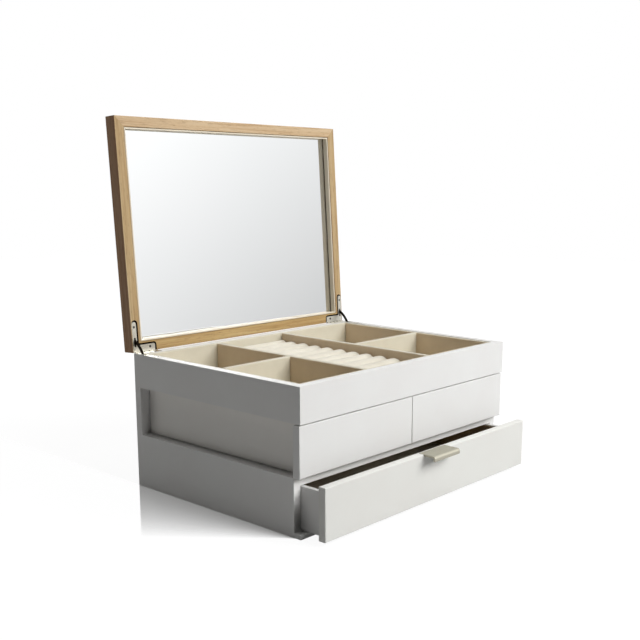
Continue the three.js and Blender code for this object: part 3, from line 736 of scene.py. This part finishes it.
def ring_roll(shape, near, far, crest, foot, left, right):
    """One roll between two Y values: an arched section carried along X, drawn in at both ends."""
    middle = (near + far) / 2
    half = (far - near) / 2
    shoulder = crest - ROLL_SHOULDER
    turns = [QUARTER_TURN * step / END_STEPS for step in range(END_STEPS + 1)]
    runs = [(left + END_ROUND * (1 - math.cos(turn)), math.sin(turn)) for turn in turns]
    runs += [(right - (place - left), share) for place, share in reversed(runs)]
    rings = []
    for place, share in runs:
        reach = half * (1 - END_DRAW_SHARE * (1 - share))
        height = ROLL_SHOULDER * (1 - END_SINK_SHARE * (1 - share))
        ring = [shape.verts.new((place, middle - reach, foot))]
        for step in range(ROLL_STEPS + 1):
            angle = math.pi * (1 - step / ROLL_STEPS)
            arch = (place, middle + reach * math.cos(angle), shoulder + height * math.sin(angle))
            ring.append(shape.verts.new(arch))
        ring.append(shape.verts.new((place, middle + reach, foot)))
        rings.append(ring)
    for first, second in zip(rings, rings[1:]):
        for (corner, after), (beyond, beyond_after) in zip(neighbours(first), neighbours(second)):
            shape.faces.new((corner, beyond, beyond_after, after))
    shape.faces.new(rings[0])
    shape.faces.new(rings[-1][::-1])


insert_low, insert_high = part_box("ring_roll_insert")
length = insert_high.y - insert_low.y
full = int(length // ROLL_PITCH) - 1
end_roll = (length - full * ROLL_PITCH) / 2
seams = [insert_low.y + end_roll + ROLL_PITCH * index for index in range(full + 1)]
starts = [insert_low.y] + [seam + ROLL_SLIT / 2 for seam in seams]
ends = [seam - ROLL_SLIT / 2 for seam in seams] + [insert_high.y]
rolls = bmesh.new()
for index, (start, end) in enumerate(zip(starts, ends)):
    crest = insert_high.z + CREST_CHANGE * math.sin(CREST_PHASE * index)
    ring_roll(rolls, start, end, crest, insert_low.z, insert_low.x, insert_high.x)
ring_rolls = piece("ring_rolls", rolls, "case", ROLL_CLOTH, ["ring_roll_insert"],
                   smooth=SOFT_CREASE)

# Lid
# Each member takes its own oak; the back rail's is darkened by a painted shade.
for node, wood in (("lid_rail_front", OAK_RAIL), ("lid_rail_back", OAK_BACK_RAIL_SHADED),
                   ("lid_stile_left", OAK_LEFT_STILE), ("lid_stile_right", OAK_STILE)):
    member = eased_piece(node, "lid", wood, BOARD_EASE, LONG_EDGE, STEEPEST)
    # The lid's mortise walls take the painted shade.
    refinished(member, MORTISE_PAINTED_SHADE, in_lid_mortise)
eased_piece("lid_panel", "lid", OAK_RAIL, LID_PANEL_EASE, LONG_EDGE, STEEPEST)

# Mirror: the silver lies behind the glass, inside a dark ground edge
SILVER_DEPTH = 1.1 * MM
SILVER_MARGIN = 0.3 * MM
mirror_shape = welded("mirror")
mirror_shape.normal_update()
for face in mirror_shape.faces:
    face.material_index = 1
bmesh.ops.dissolve_limit(mirror_shape, angle_limit=FLAT, verts=mirror_shape.verts, edges=mirror_shape.edges)
outward = Vector(THROUGH_LID)
glass = max(mirror_shape.faces, key=lambda face: face.normal.dot(outward) * face.calc_area())
bmesh.ops.inset_individual(mirror_shape, faces=[glass], thickness=SILVER_MARGIN, depth=-SILVER_DEPTH)
glass.material_index = 0
mirror = piece("mirror_glass", mirror_shape, "lid", MIRROR, ["mirror"])
mirror.data.materials.append(GLASS_EDGE)
for side in ("front", "back", "left", "right"):
    eased_piece("mirror_slip_" + side, "lid", CREAM, SLIP_EASE, LONG_EDGE, STEEPEST)

# Hinges and stays. The ends of the knuckles and the pins are near-black, a painted shade in the gaps between
# the knuckles; the stays are dark steel.
KNUCKLE_REACH = 2.4 * MM
KNUCKLE_SKIN = 0.5 * MM
KNUCKLE_END = 0.35


def in_knuckle_gap_shade(centre, normal):
    """Painted shade between the knuckles: on an end of a knuckle, or on its rounded edge, but not on the
    barrel's outer end.
    """
    near_axis = math.hypot(centre.y - HINGE.y, centre.z - HINGE.z) < KNUCKLE_REACH
    return near_axis and abs(normal.x) > KNUCKLE_END and abs(centre.x) < HINGE_EDGE - KNUCKLE_SKIN


for side, sign in SIDES:
    for node, body in (("box_leaf_", "case"), ("lid_leaf_", "lid")):
        leaf = eased_piece(node + side, body, NICKEL, LEAF_EASE, LEAF_EDGE)
        refinished(leaf, DARK_STEEL_AND_SHADE, in_knuckle_gap_shade)
    eased_piece("hinge_pin_" + side, "case", DARK_STEEL_AND_SHADE, PIN_EASE, PIN_EDGE, STEEPER)
    eased_piece(side + "_stay", "stay_" + side, DARK_STEEL_AND_SHADE, STAY_EASE, STAY_EDGE)

# Countersunk screws with cross recesses, a little below the leaf's face and each turned its own way
SCREW_NECK = 0.95 * MM
SCREW_RIM = 1.44 * MM
SCREW_FACE = 1.36 * MM
SCREW_DEPTH = 0.6 * MM
SCREW_SKIRT = 0.08 * MM
SCREW_BEVEL = 0.03 * MM
SCREW_RINGS = ((SCREW_NECK, -SCREW_DEPTH), (SCREW_RIM, -SCREW_SKIRT), (SCREW_RIM, -SCREW_BEVEL),
               (SCREW_FACE, 0.0))
SCREW_SINK = 0.05 * MM
SCREW_SIDES = 32
RECESS_LIMBS = 4
RECESS_HALF = 0.22 * MM
RECESS_REACH = 0.85 * MM
RECESS_DEPTH = 0.45 * MM
RECESS_FLOOR_SHARE = 0.8
LONG_LIMB_SCREW = (HINGE_EDGE - 2.8 * MM, 28.0 * MM)
SHORT_LIMB_SCREW = (HINGE_EDGE - 22.3 * MM, 4.8 * MM)
FIRST_SPIN = 0.4
NEXT_SPIN = 1.1


def screw_head(shape, placing):
    """A countersunk head with a cross recess, its top at the placing's origin and facing its +Z."""
    corners = [(RECESS_HALF, RECESS_REACH), (-RECESS_HALF, RECESS_REACH), (-RECESS_HALF, RECESS_HALF)]
    cross = []
    for turn in range(RECESS_LIMBS):
        spin = Matrix.Rotation(QUARTER_TURN * turn, 2)
        cross += [spin @ Vector(corner) for corner in corners]
    angles = [2 * math.pi * side / SCREW_SIDES for side in range(SCREW_SIDES)]
    rings = []
    for radius, depth in SCREW_RINGS:
        spots = [Vector((radius * math.cos(angle), radius * math.sin(angle), depth)) for angle in angles]
        rings.append([shape.verts.new(placing @ spot) for spot in spots])
    for first, second in zip(rings, rings[1:]):
        for (low, low_after), (high, high_after) in zip(neighbours(first), neighbours(second)):
            shape.faces.new((low, low_after, high_after, high))
    shape.faces.new(rings[0][::-1])
    lip_spots = [Vector((*corner, 0.0)) for corner in cross]
    pit_spots = [Vector((*(corner * RECESS_FLOOR_SHARE), -RECESS_DEPTH)) for corner in cross]
    lip = [shape.verts.new(placing @ spot) for spot in lip_spots]
    pit = [shape.verts.new(placing @ spot) for spot in pit_spots]
    for (top, top_after), (bottom, bottom_after) in zip(neighbours(lip), neighbours(pit)):
        shape.faces.new((top, top_after, bottom_after, bottom))
    shape.faces.new(pit)
    edges = [shape.edges.get(pair) for pair in neighbours(rings[-1]) + neighbours(lip)]
    bmesh.ops.triangle_fill(shape, use_beauty=True, edges=edges)


for side, sign in SIDES:
    for body in ("case", "lid"):
        heads = bmesh.new()
        for index, (across, from_back) in enumerate((LONG_LIMB_SCREW, SHORT_LIMB_SCREW)):
            spin = Matrix.Rotation(FIRST_SPIN + NEXT_SPIN * index + sign, 4, "Z")
            if body == "case":
                placing = Matrix.Translation((sign * across, BACK - from_back, RIM - SCREW_SINK)) @ spin
            else:
                spot = (sign * across, -AXIS_BEHIND - from_back, LID_UNDERSIDE + SCREW_SINK)
                placing = LID_TURN @ Matrix.Translation(spot) @ Matrix.Rotation(math.pi, 4, "X") @ spin
            screw_head(heads, placing)
        bmesh.ops.recalc_face_normals(heads, faces=heads.faces)
        piece("screws_" + body + "_" + side, heads, body, SCREW_STEEL)

# Tab pull
eased_piece("tab_pull", "drawer_bottom", CHAMPAGNE, TAB_EASE, TAB_EDGE, STEEPER)

# Camera
forward = Vector(CAMERA_FORWARD).normalized()
right = Vector(CAMERA_RIGHT)
right = (right - forward * right.dot(forward)).normalized()
upward = right.cross(forward)
lens = bpy.data.cameras.new("camera")
lens.lens = LENS
lens.sensor_width = SENSOR
lens.sensor_fit = "HORIZONTAL"
lens.shift_x, lens.shift_y = SHIFT
camera = bpy.data.objects.new("camera", lens)
bpy.context.scene.collection.objects.link(camera)
turn = Matrix((right, upward, -forward)).transposed().to_4x4()
camera.matrix_world = Matrix.Translation(CAMERA_PLACE) @ turn
bpy.context.scene.camera = camera

# Lights: a key light in front to the right, a weak one at the back left and a softer one overhead
AIM = Vector((0.0, 0.0, 0.12))
NEUTRAL = (1.0, 1.0, 1.0)
WARM = (1.0, 0.985, 0.94)
LIGHTS = {
    "key": {"direction": (0.30, -0.78, 0.52), "distance": 2.5, "size": (2.4, 1.4), "power": 67.5,
            "colour": NEUTRAL},
    "fill": {"direction": (-0.80, 0.58, 0.16), "distance": 1.1, "size": (0.5, 0.5), "power": 0.54,
             "colour": WARM},
    "overhead": {"direction": (0.10, 0.10, 0.99), "distance": 2.2, "size": (1.4, 1.4), "power": 19.5,
                 "colour": NEUTRAL},
}


def soft_box(name, direction, distance, size, power, colour):
    """A light of a width and height that faces the object from a direction."""
    data = bpy.data.lights.new(name, "AREA")
    data.shape = "RECTANGLE"
    data.size, data.size_y = size
    data.energy = power
    data.color = colour
    lamp = bpy.data.objects.new(name, data)
    bpy.context.scene.collection.objects.link(lamp)
    towards_lamp = Vector(direction).normalized()
    lamp.location = AIM + towards_lamp * distance
    lamp.rotation_euler = (-towards_lamp).to_track_quat("-Z", "Y").to_euler()


for name, light in LIGHTS.items():
    soft_box(name, **light)


def unscattered(tree, path, seen):
    """seen, but 0 for rays that a matt surface has scattered."""
    first = calculate(tree, "LESS_THAN", path.outputs["Diffuse Depth"], MIDWAY)
    return calculate(tree, "MULTIPLY", seen, first)


def gloss_or_glass(tree, path):
    return calculate(tree, "MAXIMUM", path.outputs["Is Glossy Ray"], path.outputs["Is Transmission Ray"])


# World: white to the eye, a soft level for light, and a large pale card that the mirror shows. The
# card's level changes across and with height, and the card ends softly.
SKY_LEVEL = 0.010
CARD_DIRECTION = (0.666, -0.745, 0.043)
CARD_ACROSS = (0.7455, 0.6665, 0.0)
CARD_LEVEL = 0.797
CARD_CHANGE_ACROSS = -1.046
CARD_CHANGE_UP = 1.485
CARD_LEAST = 0.50
CARD_MOST = 1.07
CARD_END = (0.80, 0.93)
world = bpy.data.worlds.new("studio")
bpy.context.scene.world = world
world.use_nodes = True
tree = world.node_tree
tree.nodes.clear()
heading = put(tree, "ShaderNodeTexCoord").outputs["Generated"]
height = along_axis(tree, heading, 2)
change_across = calculate(tree, "MULTIPLY", dot(tree, heading, CARD_ACROSS), CARD_CHANGE_ACROSS)
change_up = calculate(tree, "MULTIPLY", height, CARD_CHANGE_UP)
level = calculate(tree, "ADD", calculate(tree, "ADD", CARD_LEVEL, change_across), change_up)
level = put(tree, "ShaderNodeClamp", {"Value": level, "Min": CARD_LEAST, "Max": CARD_MOST}).outputs[0]
nearness = mapped(tree, dot(tree, heading, CARD_DIRECTION), CARD_END, interpolation_type="SMOOTHSTEP")
card = between(tree, nearness, 1.0, level)
path = put(tree, "ShaderNodeLightPath")
strength = between(tree, unscattered(tree, path, gloss_or_glass(tree, path)), SKY_LEVEL, card)
strength = between(tree, path.outputs["Is Camera Ray"], strength, 1.0)
background = put(tree, "ShaderNodeBackground", {"Color": WHITE, "Strength": strength})
tree.links.new(background.outputs[0], put(tree, "ShaderNodeOutputWorld").inputs["Surface"])

# Floor: white with a light shadow, and a reflection of the left side that fades towards the front.
# Its whiteness rises from the object outwards, and it is duller for rays that light the object.
FLOOR_RADIUS = 3.2
FLOOR_SIDES = 96
FADE_DIRECTION = (0.7614, 0.6483, 0.0)
FADE_START = 0.83
FADE_END = 0.2085
FADE_SHAPE = 1.7
GLOW_DISTANCES = (0.35, 1.0)
GLOW_LEVELS = (0.93, 1.0)
MATT_LEVEL = 0.13
DULL_LEVEL = 0.43
POLISH_ROUGHNESS = 0.06
ground = bmesh.new()
bmesh.ops.create_circle(ground, cap_ends=True, segments=FLOOR_SIDES, radius=FLOOR_RADIUS)
floor_mesh = bpy.data.meshes.new("floor")
ground.to_mesh(floor_mesh)
ground.free()
floor = bpy.data.objects.new("floor", floor_mesh)
bpy.context.scene.collection.objects.link(floor)
floor_finish = bpy.data.materials.new("floor")
floor_finish.use_nodes = True
floor_mesh.materials.append(floor_finish)
tree = floor_finish.node_tree
tree.nodes.clear()
spot = object_place(tree)
from_end = calculate(tree, "MAXIMUM", calculate(tree, "ADD", dot(tree, spot, FADE_DIRECTION), FADE_END), 0.0)
beside = calculate(tree, "SUBTRACT", -HALF_WIDTH, along_axis(tree, spot, 0))
from_side = calculate(tree, "DIVIDE", beside, FADE_DIRECTION[0])
faded = calculate(tree, "DIVIDE", from_side, calculate(tree, "ADD", from_side, from_end))
faded = calculate(tree, "POWER", calculate(tree, "MAXIMUM", faded, 0.0), FADE_SHAPE)
gloss = calculate(tree, "MULTIPLY", calculate(tree, "SUBTRACT", 1.0, faded), FADE_START)
shine = calculate(tree, "MULTIPLY", gloss, calculate(tree, "GREATER_THAN", from_side, 0.0))
distance = put(tree, "ShaderNodeVectorMath", {0: spot}, operation="LENGTH").outputs["Value"]
level = mapped(tree, distance, GLOW_DISTANCES, GLOW_LEVELS)
glow = put(tree, "ShaderNodeEmission", {"Color": WHITE, "Strength": level})
matt = put(tree, "ShaderNodeBsdfDiffuse", {"Color": grey(MATT_LEVEL)})
white = put(tree, "ShaderNodeAddShader", {0: glow.outputs[0], 1: matt.outputs[0]})
polish = put(tree, "ShaderNodeBsdfGlossy", {"Color": WHITE, "Roughness": POLISH_ROUGHNESS})
shown = put(tree, "ShaderNodeMixShader", {0: shine, 1: white.outputs[0], 2: polish.outputs[0]})
dull = put(tree, "ShaderNodeBsdfDiffuse", {"Color": grey(DULL_LEVEL)})
path = put(tree, "ShaderNodeLightPath")
seen = calculate(tree, "MAXIMUM", path.outputs["Is Camera Ray"], gloss_or_glass(tree, path))
seen = unscattered(tree, path, seen)
mixed = put(tree, "ShaderNodeMixShader", {0: seen, 1: dull.outputs[0], 2: shown.outputs[0]})
tree.links.new(mixed.outputs[0], put(tree, "ShaderNodeOutputMaterial").inputs["Surface"])

bpy.context.scene.view_settings.view_transform = "Standard"
